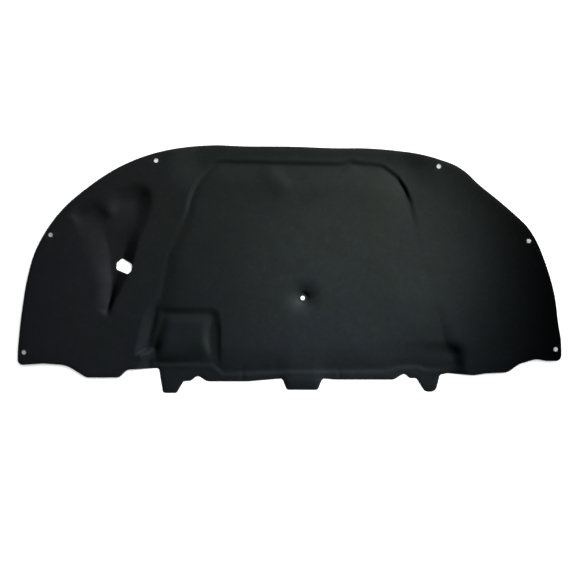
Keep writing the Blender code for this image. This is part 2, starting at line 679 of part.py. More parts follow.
def main():
    for item in list(bpy.data.objects):
        bpy.data.objects.remove(item)
    collection = bpy.data.collections.new("hood_insulation_pad")
    bpy.context.scene.collection.children.link(collection)
    pad = moulded_pad(collection)
    pad.data.materials.append(felt())
    stand_on_origin(pad)


main()
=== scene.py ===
"""Looks of a car's hood insulation pad: one moulded sheet of black felt, engine side up.

The felt is worked out in the car's own lengths: X from the centre line, Y forward from
the main rear edge, Z up from the lowest floor, in metres. It is then shifted on to the
middle of its box, which is where the CAD node lies.
"""

from math import pi, radians, sin, tan

import bpy
import numpy as np
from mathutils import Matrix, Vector
from mathutils.geometry import delaunay_2d_cdt, interpolate_bezier


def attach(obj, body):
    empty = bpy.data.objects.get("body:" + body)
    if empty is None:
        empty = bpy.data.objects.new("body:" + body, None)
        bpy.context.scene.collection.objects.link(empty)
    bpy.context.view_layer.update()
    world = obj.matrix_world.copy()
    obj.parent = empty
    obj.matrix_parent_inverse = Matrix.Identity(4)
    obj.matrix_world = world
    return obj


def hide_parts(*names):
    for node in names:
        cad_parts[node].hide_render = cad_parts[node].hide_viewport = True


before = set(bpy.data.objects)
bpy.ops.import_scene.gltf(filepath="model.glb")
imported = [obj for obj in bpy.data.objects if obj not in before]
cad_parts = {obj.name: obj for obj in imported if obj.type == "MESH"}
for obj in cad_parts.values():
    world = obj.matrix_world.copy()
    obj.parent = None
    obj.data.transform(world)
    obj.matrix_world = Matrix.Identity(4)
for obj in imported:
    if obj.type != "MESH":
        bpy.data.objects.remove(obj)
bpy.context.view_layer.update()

# Reach of the pad from the car's centre line and from its own rear edge
LEFT_REACH = 0.623
RIGHT_REACH = 0.569
FRONT_REACH = 0.5205
FRONT_EDGE_LEFT = 0.199
FRONT_EDGE_RIGHT = 0.203
FRONT_EDGE_FALL = 0.0115

# Felt
FELT_THICKNESS = 0.006
CUT_EDGE_THICKNESS = 0.004
CUT_EDGE_RUN = 0.009
CUT_EDGE_ROUND = 0.0012
LIP_HEIGHT = 0.0008
LIP_WIDTH = 0.0050

# How softly the felt bends: everywhere, and in the two lobes of the pocket
BEND_RADIUS = 0.0020
LOBE_BEND_RADIUS = 0.0052
LOBE_CENTRE = (-0.400, 0.400)
LOBE_REACH = 0.115

# Waviness of the sheet: height, spacing and random seed of each layer
WAVES = ((0.00035, 0.055, 3), (0.00012, 0.018, 8))

# Rear corners and the wings' rear edges, as heights above the main rear edge
LEFT_WING_LEVEL = 0.0365
LEFT_STEP_LEVEL = 0.0090
LEFT_NECK_LEVEL = 0.0295
RIGHT_WING_LEVEL = 0.0455
RIGHT_STEP_LEVEL = 0.0145
WING_CREST = 0.0035
CORNER_RADIUS = 0.018
EDGE_CURVE_RADIUS = 0.060

# Rear edge between the tabs
LEFT_TAB_X = -0.288
LEFT_TAB_ROOT = 0.054
LEFT_TAB_TIP = 0.030
LEFT_TAB_DEPTH = 0.0255
MIDDLE_TAB_X = 0.001
MIDDLE_TAB_ROOT = 0.0885
MIDDLE_TAB_TIP = 0.068
MIDDLE_TAB_DEPTH = 0.0185
MIDDLE_TAB_LEVEL = 0.0065
RIGHT_TAB_X = 0.278
RIGHT_TAB_ROOT = 0.052
RIGHT_TAB_TIP = 0.024
RIGHT_TAB_DEPTH = 0.0225
RIGHT_TAB_LEAN = 0.005
RIGHT_EDGE_LEVEL = 0.004
LEFT_PEAK_HEIGHT = 0.0135
RIGHT_PEAK_HEIGHT = 0.018
PEAK_HALF_WIDTH = 0.023
PEAK_RADIUS = 0.010
TAB_RADIUS = 0.006
ROUND_TAB_RADIUS = 0.014

# Holes
CLIP_HOLE_DIAMETER = 0.010
CLIP_SEAT_DIAMETER = 0.018
CENTRE_CLIP = (0.002, 0.184)
ACCESS_HOLE = (-0.391, 0.253)
ACCESS_HOLE_RADIUS = 0.0188
ACCESS_HOLE_FILLET = 0.005
HOLE_ROUND = 0.0008

# Relief pressed into the felt: heights of the engine side above the lowest floor
WING_HEIGHT = 0.012
REAR_FLANGE_HEIGHT = 0.0008
FRONT_FLANGE_HEIGHT = 0.0025
FRONT_FLANGE_HALF_WIDTH = 0.300
FRONT_FLANGE_FADE = 0.080
WING_CROWN = 0.012
CROWN_START = 0.300
FLANGE_FADE = 0.035

# Main panel
PANEL_HALF_WIDTH = 0.365
FRONT_FLANGE = 0.0345
REAR_FLANGE = 0.0165
PANEL_WALL = 0.009
PANEL_CURVE = 1.6
PANEL_PILLOW = 0.007
PANEL_BANK = 0.055
PANEL_CORNER_RADIUS = 0.060

# Square pocket in the panel's rear left corner, with its depths as shares of the height there
SQUARE_LEFT = -0.338
SQUARE_RIGHT = -0.209
SQUARE_LENGTH = 0.109
SQUARE_REAR = 0.040
SQUARE_SLANT = 0.027
SQUARE_SIDE_WALL = 0.030
SQUARE_FRONT_WALL = 0.014
SQUARE_SIDE_DEPTH = 1.15
SQUARE_FRONT_DEPTH = 0.35
SQUARE_PILLOW = 0.011
SQUARE_BANK = 0.022
SQUARE_CORNER_RADIUS = 0.010

# Dimple that the centre clip pulls in
DIMPLE_RADIUS = 0.050
DIMPLE_SEAT_RADIUS = 0.008
DIMPLE_CURVE = 2.2

# Pocket round the access hole
POCKET_WIDTH = 0.180
POCKET_LENGTH = 0.288
POCKET_WALL = 0.009
POCKET_CORNER_RADIUS = 0.032

# Fineness of the felt's surface
EDGE_STEP = 0.004
ARC_STEP = radians(9)
RIM_STEP = 0.0085
GRID_STEP = 0.0022
TOP_STEP = 0.0031
UNDERSIDE_STEP = 0.0052

# Cuts: rows of points beside the edge and beside a hole, by their distance from it, how far
# from a hole's middle its cut can reach, and how soon the pale cut fades
EDGE_ROWS = (0.0004, 0.0013, 0.0030)
HOLE_ROWS = (0.0004, 0.0010, 0.0024)
HOLE_SURROUND = 0.035
CUT_FADE = 0.0012

# Studio: the pad's two lamps stand in one place, and the floor has its own. The room's
# light has one strength for what it falls on and another for what the camera sees of it
LAMP_PLACE = (1.85, 1.55, 1.10)
KEY_AIM = (0.136, -0.034, 0.0)
WIDE_AIM = (-0.092, -0.072, 0.0)
LAMP_RADIUS = 0.05
FLOOR_LAMP_PLACE = (0.4, 0.6, 3.5)
FLOOR_LAMP_SIZE = 3.0
FLOOR_HALF_WIDTH = 14.0
FLOOR_DROP = 0.0004
ROOM_LIGHT = 0.05
ROOM_SEEN = 0.9

# Camera: what it looks down on, and the width that it sees there
VIEW_CENTRE = (-0.0036, -0.0418, 0.012)
VIEW_WIDTH = 1.2672

# Felt colours
GREEN_BLACK = (0.0106, 0.0136, 0.0120, 1.0)
TEAL_BLACK = (0.0098, 0.0132, 0.0160, 1.0)
VIOLET_BLACK = (0.0122, 0.0130, 0.0166, 1.0)
# DEEP_BLACK darkens the denser grain, and in the needle pits it is painted shade
DEEP_BLACK = (0.0040, 0.0045, 0.0050, 1.0)
PALE_FIBRE = (0.045, 0.050, 0.050, 1.0)
CUT_FIBRE = (0.050, 0.050, 0.036, 1.0)
LINT = (0.32, 0.33, 0.32, 1.0)

# Shape of each flank in shares of its own box, from the rear corner to the front edge
LEFT_FLANK = (
    (0.000, 0.000), (0.009, 0.098), (0.026, 0.229), (0.050, 0.360), (0.085, 0.476),
    (0.132, 0.566), (0.226, 0.686), (0.368, 0.801), (0.509, 0.887), (0.651, 0.945),
    (0.792, 0.979), (1.000, 1.000),
)
RIGHT_FLANK = (
    (0.000, 0.000), (0.004, 0.056), (0.014, 0.105), (0.044, 0.286), (0.098, 0.440),
    (0.153, 0.550), (0.208, 0.620), (0.262, 0.664), (0.372, 0.745), (0.505, 0.837),
    (0.563, 0.884), (0.612, 0.914), (0.727, 0.953), (0.863, 0.984), (1.000, 1.000),
)
# Front edge: share of its width from the left, share of its fall
FRONT_EDGE = ((0.18, 0.20), (0.43, 0.26), (0.68, 0.56), (0.86, 0.61))

# Clip holes along the flanks and the front: share of the way, distance in from the edge
EDGE_CLIPS = (
    (0.0019, 0.0133), (0.159, 0.0131), (0.332, 0.0166),
    (0.698, 0.0149), (0.854, 0.0142), (0.9998, 0.0125),
)

# Access hole: the angles of its six corners
ACCESS_HOLE_CORNERS = (-161, -64, -31, 15, 104, 153)

# Rims of the pressed regions. Each row has the share across, the share along, the corner
# radius in rim radii and the run of the wall in wall runs. A panel row ends in the shares
# of the full depth, of the pillow and of its bank. A pocket row ends in the share of the
# full depth and the wall's curve.
PANEL_SIDES = (
    (-0.074, 0.999, 0, 0.9, 1.0, 1.0, 1.0), (0.233, 0.995, 0, 0.9, 1.0, 1.0, 1.0),
    (0.290, 1.010, 0, 1.2, 0.8, 1.0, 1.0), (0.351, 0.997, 0, 0.8, 0.9, 1.0, 1.0),
    (0.489, 0.986, 0.4, 0.7, 0.8, 1.0, 0.9), (0.585, 0.930, 0.4, 0.6, 0.6, 1.0, 0.9),
    (0.633, 0.872, 0.2, 0.6, 0.5, 0.8, 1.0), (0.671, 0.800, 0, 0.7, 0.2, 0.5, 1.3),
    (0.720, 0.670, 0, 1.6, 0.02, 0.14, 2.0), (0.858, 0.343, 0, 2.0, 0.02, 0.12, 2.0),
    (0.935, 0.170, 0, 3.0, 0.2, 0.4, 1.1), (0.992, 0.015, 0.2, 2.4, 0.5, 0.6, 1.0),
    (0.833, 0.009, 0, 0.8, 1.0, 1.0, 1.0), (0.742, 0.011, 0, 0.8, 1.0, 1.0, 1.0),
    (0.707, 0.023, 0, 0.8, 1.0, 1.0, 1.0), (0.592, 0.023, 0, 0.8, 1.0, 1.0, 1.0),
    (0.515, 0.004, 0, 0.8, 1.0, 1.0, 1.0), (-0.071, 0.002, 0, 0.8, 1.0, 1.0, 1.0),
    (-0.482, -0.009, 0.15, 0.8, 1.0, 0.9, 1.0), (-0.545, 0.036, 0, 0.8, 1.0, 0.9, 1.0),
    (-0.899, 0.038, 0, 0.8, 1.0, 0.8, 0.9), (-0.907, 0.102, 0, 1.0, 1.0, 0.8, 0.7),
    (-1.006, 0.080, 0, 1.1, 1.1, 0.8, 0.5), (-1.010, 0.105, 0, 2.6, 1.25, 1.1, 0.45),
    (-0.980, 0.216, 0, 2.9, 1.25, 1.1, 0.45), (-0.955, 0.285, 0, 2.8, 1.1, 0.9, 0.6),
    (-0.922, 0.325, 0, 1.6, 0.3, 0.6, 0.8), (-0.879, 0.370, 0, 1.2, 0.1, 0.5, 0.8),
    (-0.843, 0.487, 0, 1.0, 0.05, 0.5, 0.5), (-0.819, 0.581, 0, 1.0, 0.05, 0.5, 0.5),
    (-0.759, 0.675, 0, 1.0, 0.05, 0.5, 0.5), (-0.708, 0.759, 0, 0.8, 0.2, 0.5, 0.4),
    (-0.690, 0.815, 0, 0.6, 0.45, 0.5, 0.3), (-0.669, 0.862, 0, 0.6, 0.6, 0.5, 0.3),
    (-0.635, 0.909, 0.2, 0.6, 0.6, 0.6, 0.4), (-0.596, 0.947, 0.2, 0.6, 0.6, 0.7, 0.5),
    (-0.530, 0.998, 0.3, 0.8, 0.7, 0.8, 0.7), (-0.470, 1.006, 0, 0.8, 0.9, 0.9, 1.0),
)
POCKET_SIDES = (
    (0.340, 0.550, 0.6, 3.8, 1.1, 0.9), (0.267, 0.620, 0.6, 3.8, 1.1, 0.9),
    (0.120, 0.628, 0.4, 3.8, 1.1, 0.9), (0.000, 0.604, 0.3, 3.2, 0.9, 1.0),
    (-0.120, 0.560, 0.4, 2.6, 0.7, 1.0), (-0.170, 0.490, 0.2, 1.8, 0.5, 0.9),
    (-0.160, 0.380, 0.1, 1.6, 0.45, 0.9), (-0.265, 0.470, 0.2, 1.6, 0.2, 1.0),
    (-0.350, 0.530, 0.4, 1.6, 0.08, 1.0), (-0.552, 0.500, 0.4, 3.0, 0.2, 0.8),
    (-0.650, 0.401, 0.3, 5.0, 0.9, 0.8), (-0.600, 0.340, 0, 4.6, 0.6, 0.9),
    (-0.552, 0.202, 0, 6.5, 0.2, 1.4), (-0.490, 0.064, 0, 6.3, 0.6, 2.0),
    (-0.400, -0.120, 0, 4.8, 1.3, 3.2), (-0.380, -0.264, 0, 4.1, 1.2, 3.0),
    (-0.333, -0.348, 0.2, 2.6, 0.8, 2.0), (-0.192, -0.401, 0, 0.8, 0.15, 1.5),
    (-0.160, -0.340, 0, 0.9, 0.5, 1.0), (-0.112, -0.264, 0, 1.4, 0.9, 1.0),
    (-0.076, -0.225, 0, 1.9, 1.0, 1.0), (-0.010, -0.149, 0, 2.6, 1.0, 1.0),
    (0.030, -0.096, 0, 2.7, 1.0, 1.0), (0.100, -0.012, 0, 2.7, 1.0, 1.0),
    (0.138, 0.088, 0, 2.8, 1.0, 1.0), (0.175, 0.180, 0, 2.4, 0.7, 0.9),
    (0.212, 0.256, 0, 1.8, 0.4, 0.9), (0.279, 0.325, 0, 2.0, 0.4, 0.9),
    (0.309, 0.401, 0, 3.2, 0.8, 0.9), (0.340, 0.485, 0, 3.6, 1.1, 0.9),
)

# Marks of handling: start, end, half width on the left and on the right of the way from
# start to end, and height of each fold or crease in the felt
FOLDS = (
    ((0.020, 0.405), (0.110, 0.462), 0.012, 0.012, 0.0015),
    ((-0.075, 0.468), (-0.030, 0.415), 0.018, 0.026, 0.0024),
    ((-0.360, 0.0560), (-0.334, 0.0632), 0.0045, 0.0150, 0.0036),
    ((-0.040, 0.006), (0.042, 0.006), 0.045, 0.016, 0.0038),
    ((-0.131, 0.002), (-0.130, 0.028), 0.0035, 0.0035, -0.0012),
    ((0.082, 0.006), (0.083, 0.026), 0.0035, 0.0035, -0.0012),
)


def along(points):
    """Distance from the first point of a line to each of its points, along the line."""
    steps = np.linalg.norm(np.diff(points[:, :2], axis=0), axis=1)
    return np.concatenate([[0.0], np.cumsum(steps)])


def resampled(points, step):
    """Splits each side of a closed line that is longer than the step into even parts."""
    ends = np.roll(points, -1, axis=0)
    parts = []
    for start, end in zip(points, ends):
        pieces = max(1, int(np.ceil(np.linalg.norm(end[:2] - start[:2]) / step)))
        parts.append(start + (end - start) * np.arange(pieces)[:, None] / pieces)
    return np.vstack(parts)


def rounded(corners):
    """Closed line through corners of (x, y, radius, values), each turned by an arc.

    The arc touches both sides of its corner. Its radius is held to what the shorter
    side has room for. The result's rows are x, y and the corner's values.
    """
    corners = np.array(corners, float)
    points = []
    for i, (x, y, radius, *values) in enumerate(corners):
        here = Vector((x, y))
        back = Vector(corners[i - 1][:2]) - here
        ahead = Vector(corners[(i + 1) % len(corners)][:2]) - here
        half = back.angle(ahead) / 2
        reach = min(radius / tan(half), 0.48 * back.length, 0.48 * ahead.length)
        turn = pi - 2 * half
        if reach < EDGE_STEP / 10 or turn < ARC_STEP / 10:
            points.append((x, y, *values))
            continue
        start = here + back.normalized() * reach
        end = here + ahead.normalized() * reach
        handle = reach * 4 / 3 * tan(turn / 4) / tan(turn / 2)
        arc = interpolate_bezier(
            start,
            start + (here - start).normalized() * handle,
            end + (here - end).normalized() * handle,
            end,
            max(3, round(turn / ARC_STEP) + 1),
        )
        points += [(p.x, p.y, *values) for p in arc]
    return np.array(points)


def smooth_line(knots, step):
    """Open curve through the knots, with the tangent at each one set by its neighbours."""
    knots = [Vector(knot) for knot in knots]
    tangents = []
    for i, knot in enumerate(knots):
        back = knot - knots[max(i - 1, 0)]
        ahead = knots[min(i + 1, len(knots) - 1)] - knot
        if not back.length or not ahead.length:
            tangents.append((back + ahead).normalized())
            continue
        slope = back / back.length * ahead.length + ahead / ahead.length * back.length
        tangents.append(slope.normalized())
    points = [knots[0]]
    for i in range(len(knots) - 1):
        span = (knots[i + 1] - knots[i]).length
        count = max(2, int(np.ceil(span / step)) + 1)
        points += interpolate_bezier(
            knots[i],
            knots[i] + tangents[i] * span / 3,
            knots[i + 1] - tangents[i + 1] * span / 3,
            knots[i + 1],
            count,
        )[1:]
    return np.array([(p.x, p.y) for p in points])


def crown_line():
    """The pad's edge from the left rear corner over the front to the right one."""
    front_left = Vector((-FRONT_EDGE_LEFT, FRONT_REACH))
    front_right = Vector((FRONT_EDGE_RIGHT, FRONT_REACH - FRONT_EDGE_FALL))
    rear_left = Vector((-LEFT_REACH, LEFT_WING_LEVEL + 1.45 * CORNER_RADIUS))
    rear_right = Vector((RIGHT_REACH, RIGHT_WING_LEVEL + 1.45 * CORNER_RADIUS))
    left = front_left - rear_left
    right = front_right - rear_right
    knots = [rear_left + Vector((left.x * u, left.y * v)) for u, v in LEFT_FLANK]
    width = front_right.x - front_left.x
    knots += [front_left + Vector((width * u, -FRONT_EDGE_FALL * v)) for u, v in FRONT_EDGE]
    knots += [
        rear_right + Vector((right.x * u, right.y * v)) for u, v in reversed(RIGHT_FLANK)
    ]
    return smooth_line(knots, EDGE_STEP)


def tab(centre, root, tip, lean, left_level, right_level, depth, radius):
    """Four corners of a tab that hangs from the rear edge, from left to right."""
    return [
        (centre - root / 2, left_level, TAB_RADIUS),
        (centre + lean - tip / 2, -depth, radius),
        (centre + lean + tip / 2, -depth, radius),
        (centre + root / 2, right_level, TAB_RADIUS),
    ]


def rear_corners():
    """The rear edge from the left corner to the right one, as rounded corners."""
    left_root = LEFT_TAB_X - LEFT_TAB_ROOT / 2
    right_root = RIGHT_TAB_X + RIGHT_TAB_ROOT / 2

    def left(share):
        return left_root - (LEFT_REACH + left_root) * share

    def right(share):
        return right_root + (RIGHT_REACH - right_root) * share

    soft = EDGE_CURVE_RADIUS
    corners = [
        (-LEFT_REACH, LEFT_WING_LEVEL, CORNER_RADIUS),
        (left(0.82), LEFT_WING_LEVEL + WING_CREST, soft),
        (left(0.655), LEFT_WING_LEVEL, soft),
        (left(0.515), LEFT_STEP_LEVEL, soft / 3),
        (left(0.28), LEFT_STEP_LEVEL, soft / 5),
        (left(0.225), LEFT_NECK_LEVEL - WING_CREST, soft / 5),
    ]
    corners += tab(
        LEFT_TAB_X, LEFT_TAB_ROOT, LEFT_TAB_TIP, -LEFT_TAB_ROOT / 18,
        LEFT_NECK_LEVEL, 0, LEFT_TAB_DEPTH, TAB_RADIUS,
    )
    left_peak = LEFT_TAB_X + LEFT_TAB_ROOT / 2 + 1.35 * PEAK_HALF_WIDTH
    corners += [(left_peak - 0.6 * PEAK_HALF_WIDTH, WING_CREST / 2, PEAK_RADIUS)]
    corners += [(left_peak, LEFT_PEAK_HEIGHT, PEAK_RADIUS)]
    corners += [(left_peak + 0.9 * PEAK_HALF_WIDTH, 0, 2 * PEAK_RADIUS)]
    corners += [(MIDDLE_TAB_X - 1.35 * MIDDLE_TAB_ROOT, 0, soft)]
    corners += tab(
        MIDDLE_TAB_X, MIDDLE_TAB_ROOT, MIDDLE_TAB_TIP, 0,
        MIDDLE_TAB_LEVEL, MIDDLE_TAB_LEVEL, MIDDLE_TAB_DEPTH, TAB_RADIUS,
    )
    right_peak = RIGHT_TAB_X - RIGHT_TAB_ROOT / 2 - 1.15 * PEAK_HALF_WIDTH
    corners += [(MIDDLE_TAB_X + 0.8 * MIDDLE_TAB_ROOT, RIGHT_EDGE_LEVEL, PEAK_RADIUS)]
    corners += [(right_peak - PEAK_HALF_WIDTH, RIGHT_EDGE_LEVEL, PEAK_RADIUS)]
    corners += [(right_peak, RIGHT_PEAK_HEIGHT, 0.8 * PEAK_RADIUS)]
    corners += [(right_peak + 0.5 * PEAK_HALF_WIDTH, 0.4 * RIGHT_PEAK_HEIGHT, PEAK_RADIUS)]
    corners += tab(
        RIGHT_TAB_X, RIGHT_TAB_ROOT, RIGHT_TAB_TIP, RIGHT_TAB_LEAN,
        0.4 * RIGHT_PEAK_HEIGHT, RIGHT_STEP_LEVEL, RIGHT_TAB_DEPTH, ROUND_TAB_RADIUS,
    )
    corners += [
        (right(0.06), RIGHT_STEP_LEVEL + WING_CREST, soft / 4),
        (right(0.28), RIGHT_STEP_LEVEL - WING_CREST / 4, soft),
        (right(0.38), RIGHT_STEP_LEVEL + WING_CREST, soft / 2),
        (right(0.555), RIGHT_STEP_LEVEL + 1.5 * WING_CREST, soft / 2),
        (right(0.65), RIGHT_WING_LEVEL - 2 * WING_CREST, soft / 2),
        (right(0.79), RIGHT_WING_LEVEL + 1.2 * WING_CREST, soft / 2),
        (right(0.88), RIGHT_WING_LEVEL, soft / 2),
        (RIGHT_REACH, RIGHT_WING_LEVEL, CORNER_RADIUS * 0.75),
    ]
    return corners


def outline():
    """The pad's whole edge, clockwise from the left rear corner."""
    crown = [(x, y, 0) for x, y in crown_line()]
    edge = rounded(crown + rear_corners()[::-1])
    return resampled(edge, EDGE_STEP)


def clip_centres():
    """Middle of each clip hole: those along the edge, and the one in the dimple."""
    line = crown_line()
    way = along(line)
    share, margin = np.array(EDGE_CLIPS).T

    def at(distance):
        return np.stack([np.interp(distance, way, column) for column in line.T], axis=1)

    middle = share * way[-1]
    ahead = at(middle + 3 * EDGE_STEP) - at(middle - 3 * EDGE_STEP)
    inward = np.stack([ahead[:, 1], -ahead[:, 0]], axis=1)
    inward /= np.linalg.norm(inward, axis=1)[:, None]
    return np.vstack([at(middle) + inward * margin[:, None], [CENTRE_CLIP]])


def circle(centre, radius, count):
    """Points evenly round a circle."""
    angles = np.arange(count) * 2 * pi / count
    return np.stack([centre[0] + radius * np.cos(angles), centre[1] + radius * np.sin(angles)], 1)


def access_hole():
    """Six-sided hole with rounded corners that all lie on one circle."""
    angles = np.radians(ACCESS_HOLE_CORNERS)
    fillet = np.full(len(angles), ACCESS_HOLE_FILLET)
    corners = np.stack([
        ACCESS_HOLE[0] + ACCESS_HOLE_RADIUS * np.cos(angles),
        ACCESS_HOLE[1] + ACCESS_HOLE_RADIUS * np.sin(angles),
        fillet,
    ], axis=1)
    return resampled(rounded(corners), EDGE_STEP / 2)


def panel_rim():
    """Rim of the main panel, from shares of its half width and of its length."""
    u, v, radius, run, depth, pillow, bank = np.array(PANEL_SIDES).T
    length = FRONT_REACH - FRONT_FLANGE - REAR_FLANGE
    return rounded(np.stack([
        u * PANEL_HALF_WIDTH, REAR_FLANGE + v * length, radius * PANEL_CORNER_RADIUS,
        run * PANEL_WALL, depth, np.full(len(u), PANEL_CURVE), pillow * PANEL_PILLOW,
        bank * PANEL_BANK,
    ], axis=1))


def square_rim():
    """Rim of the square pocket. Its left and rear sides lie in the panel's own crease."""
    right = SQUARE_RIGHT + SQUARE_SIDE_WALL
    front = SQUARE_REAR + SQUARE_LENGTH + SQUARE_FRONT_WALL
    crease = PANEL_WALL / 3
    radius = SQUARE_CORNER_RADIUS + SQUARE_FRONT_WALL
    front_side = (SQUARE_FRONT_WALL, SQUARE_FRONT_DEPTH, 1.0, SQUARE_PILLOW / 3, SQUARE_BANK)
    right_side = (SQUARE_SIDE_WALL, SQUARE_SIDE_DEPTH, 0.55, SQUARE_PILLOW, SQUARE_BANK)
    in_crease = (crease, 0.0, 1.0, 0.0, SQUARE_BANK)
    slanted = (crease, 0.0, 1.0, 0.7 * SQUARE_PILLOW, SQUARE_BANK)
    return rounded([
        (SQUARE_LEFT + SQUARE_SLANT, front, 0, *front_side),
        (right, front, radius, *front_side),
        (right, front - 2 * radius, 0, *right_side),
        (right, SQUARE_REAR, 0, *right_side),
        (SQUARE_RIGHT, SQUARE_REAR - crease, 0, *in_crease),
        (SQUARE_LEFT - crease, SQUARE_REAR - crease, 0, *slanted),
    ])


def dimple_rim():
    """Rim of the dimple round the centre clip."""
    ring = circle(CENTRE_CLIP, DIMPLE_RADIUS, 64)
    wall = (DIMPLE_RADIUS - DIMPLE_SEAT_RADIUS, 1.0, DIMPLE_CURVE, 0.0, PANEL_BANK)
    return np.column_stack([ring, np.tile(wall, (len(ring), 1))])


def pocket_rim():
    """Rim of the two-lobed pocket that runs down to a point below the access hole."""
    u, v, radius, run, depth, curve = np.array(POCKET_SIDES).T
    return rounded(np.stack([
        ACCESS_HOLE[0] + u * POCKET_WIDTH, ACCESS_HOLE[1] + v * POCKET_LENGTH,
        radius * POCKET_CORNER_RADIUS, run * POCKET_WALL, depth, curve,
        np.zeros(len(u)), np.full(len(u), PANEL_BANK),
    ], axis=1))


def eased(share):
    """Share from 0 to 1 that starts and ends level."""
    share = np.clip(share, 0.0, 1.0)
    return share * share * (3 - 2 * share)


def in_parts(work, points, size=6000):
    """The results of some work on the points, done on a few thousand of them at a time."""
    parts = [work(points[i:i + size]) for i in range(0, len(points), size)]
    return np.concatenate(parts)


def inside(points, loop):
    """Whether each point lies inside a closed line, by counting the sides it crosses."""
    x0, y0 = loop[:, 0], loop[:, 1]
    x1, y1 = np.roll(x0, -1), np.roll(y0, -1)
    slope = (x1 - x0) / np.where(y1 == y0, 1.0, y1 - y0)

    def crossed(some):
        x, y = some[:, :1], some[:, 1:2]
        crosses = ((y0 > y) != (y1 > y)) & (x < x0 + (y - y0) * slope)
        return crosses.sum(axis=1) % 2 == 1

    return in_parts(crossed, points)


def distances(points, loop):
    """Distance from each point to each side of a closed line, and the place on the side."""
    start = loop[:, :2]
    side = np.roll(start, -1, axis=0) - start
    offset = points[:, None, :2] - start[None]
    share = np.clip((offset * side).sum(2) / (side * side).sum(1), 0.0, 1.0)
    gap = offset - share[..., None] * side
    return np.sqrt((gap * gap).sum(2)), share


def nearest(points, loop):
    """Distance from each point to a closed line."""
    return in_parts(lambda some: distances(some, loop)[0].min(axis=1), points, 3000)


def across_wall(points, rim):
    """How far each point is down the rim's wall and from the rim, and what rules there.

    The first result is 0 at the rim and 1 at the foot. The run of the wall changes
    along the rim, and the nearest side in wall runs rules and gives the wall's curve.
    The distance from the rim is a smooth one: the sixth powers of 1 / distance, summed
    along the rim, give back the plain distance at a straight rim and round it off
    between two rims. The rim's other values are weighed by the cube of 1 / distance.
    """
    rim = resampled(rim, RIM_STEP)
    ends = np.roll(rim, -1, axis=0)
    length = np.linalg.norm(ends[:, :2] - rim[:, :2], axis=1)
    middle = (rim[:, 2:] + ends[:, 2:]) / 2

    def measured(some):
        distance, share = distances(some, rim)
        run = rim[:, 2] + share * (ends[:, 2] - rim[:, 2])
        ratio = distance / run
        ruling = ratio.argmin(axis=1)
        down = ratio[np.arange(len(some)), ruling]
        distance = np.maximum(distance, RIM_STEP / 10)
        weight = length / distance**3
        values = weight @ middle / weight.sum(axis=1)[:, None]
        values[:, 2] = middle[ruling, 2]
        smooth = (length / distance**6).sum(axis=1) / (3 * pi / 8)
        return np.column_stack([down, smooth ** (-1 / 5), values])

    return in_parts(measured, points, 3000).T


def pressed(points, height, rim):
    """Presses a region into the felt: down the wall to its foot, then up to a pillow.

    The fall is the share of the wall to the power of its curve: over 1 it ends in a
    crease, and under 1 it starts with an edge. The pillow rises as a quarter of a sine
    wave, steepest at the foot.
    """
    within = inside(points, rim)
    down, reach, run, depth, curve, pillow, bank = across_wall(points[within], rim)
    fall = np.clip(down, 0.0, 1.0) ** curve
    rise = np.sin(np.clip((reach - run) / bank, 0.0, 1.0) * pi / 2)
    result = height.copy()
    result[within] = height[within] * (1 - depth * fall) + pillow * rise
    return result


def lips(points, rim):
    """Height of the soft lip that pressing leaves along a rim: a bell curve across it."""
    line = resampled(rim, RIM_STEP)
    low, high = line[:, :2].min(axis=0) - 4 * LIP_WIDTH, line[:, :2].max(axis=0) + 4 * LIP_WIDTH
    near = ((points > low) & (points < high)).all(axis=1)
    height = np.zeros(len(points))

    def bump(some):
        distance, share = distances(some, line)
        ruling = distance.argmin(axis=1)[:, None]
        away = np.take_along_axis(distance, ruling, 1)[:, 0]
        ends = np.roll(line, -1, axis=0)
        value = line[:, 3] + share * (ends[:, 3] - line[:, 3])
        steep = PANEL_WALL / (line[:, 2] + share * (ends[:, 2] - line[:, 2]))
        value = np.take_along_axis(value * np.minimum(steep, 1.0), ruling, 1)[:, 0]
        return value * LIP_HEIGHT * np.exp(-(away / LIP_WIDTH) ** 2)

    height[near] = in_parts(bump, points[near], 3000)
    return height


def relief(points):
    """Height of the engine side above the lowest floor, at each point."""
    x, y = points[:, 0], points[:, 1]
    height = np.full(len(points), WING_HEIGHT)
    reach = (LEFT_REACH + RIGHT_REACH) / 2 - CROWN_START
    height += WING_CROWN * (np.maximum(np.abs(x) - CROWN_START, 0.0) / reach) ** 2
    rear = eased((REAR_FLANGE + SQUARE_REAR + FLANGE_FADE - y) / FLANGE_FADE)
    middle = eased((PANEL_HALF_WIDTH - np.abs(x)) / FLANGE_FADE)
    height -= (WING_HEIGHT - REAR_FLANGE_HEIGHT) * rear * middle
    front = eased((y - FRONT_REACH + FRONT_FLANGE) / FRONT_FLANGE_FADE + 1)
    middle = eased((FRONT_FLANGE_HALF_WIDTH - np.abs(x)) / FRONT_FLANGE_FADE)
    height -= (WING_HEIGHT - FRONT_FLANGE_HEIGHT) * front * middle
    for rim in (panel_rim(), square_rim(), dimple_rim(), pocket_rim()):
        height = pressed(points, height, rim)
    return height + lips(points, panel_rim()) + lips(points, square_rim())


def folds(points):
    """Height that the handling marks add: a bell curve across each line.

    It is full between the line's quarter points, half as high at the line's ends, and
    gone a quarter of the line's length beyond them.
    """
    height = np.zeros(len(points))
    for start, end, left_half, right_half, rise in FOLDS:
        start, end = np.array(start), np.array(end)
        way = end - start
        length = np.linalg.norm(way)
        offset = points[:, :2] - start
        share = offset @ way / length**2
        aside = (offset[:, 0] * way[1] - offset[:, 1] * way[0]) / length
        half = np.where(aside < 0, left_half, right_half)
        ends = eased(1.5 - 2 * np.abs(share - 0.5))
        height += rise * np.exp(-(aside / half) ** 2) * ends
    return height


